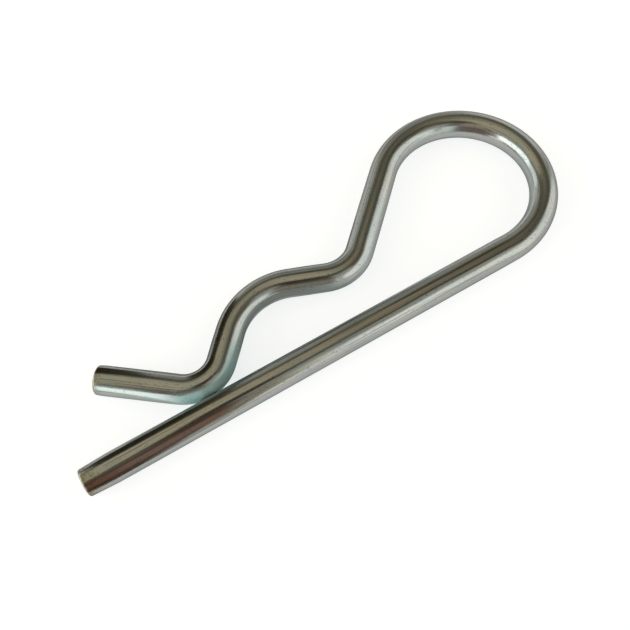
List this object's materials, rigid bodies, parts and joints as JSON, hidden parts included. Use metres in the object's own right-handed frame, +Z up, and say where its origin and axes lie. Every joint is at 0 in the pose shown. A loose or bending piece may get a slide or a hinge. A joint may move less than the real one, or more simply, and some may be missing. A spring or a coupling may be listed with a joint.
{
  "type": "hitch r clip pin",
  "caption": "Flat R-shaped spring clip bent from one round zinc-plated wire: straight shank, round pull loop and waved arm that grips a cross-drilled pin.",
  "frame": {"origin": "middle of the clip's length and width, on the surface that it lies on", "axes": "+X along the shank from its free end towards the loop, +Y from the shank towards the waved arm, +Z up from the surface"},
  "size_m": [0.0776, 0.0272, 0.004],
  "materials": {
    "zinc_plated_steel": "bright zinc plate over drawn spring wire, smooth and mirror-like, with faint draw lines along the wire and a dull freckled skin at the cut ends"
  },
  "bodies": {
    "root": {"clip_wire": "zinc_plated_steel"}
  },
  "joints": []
}
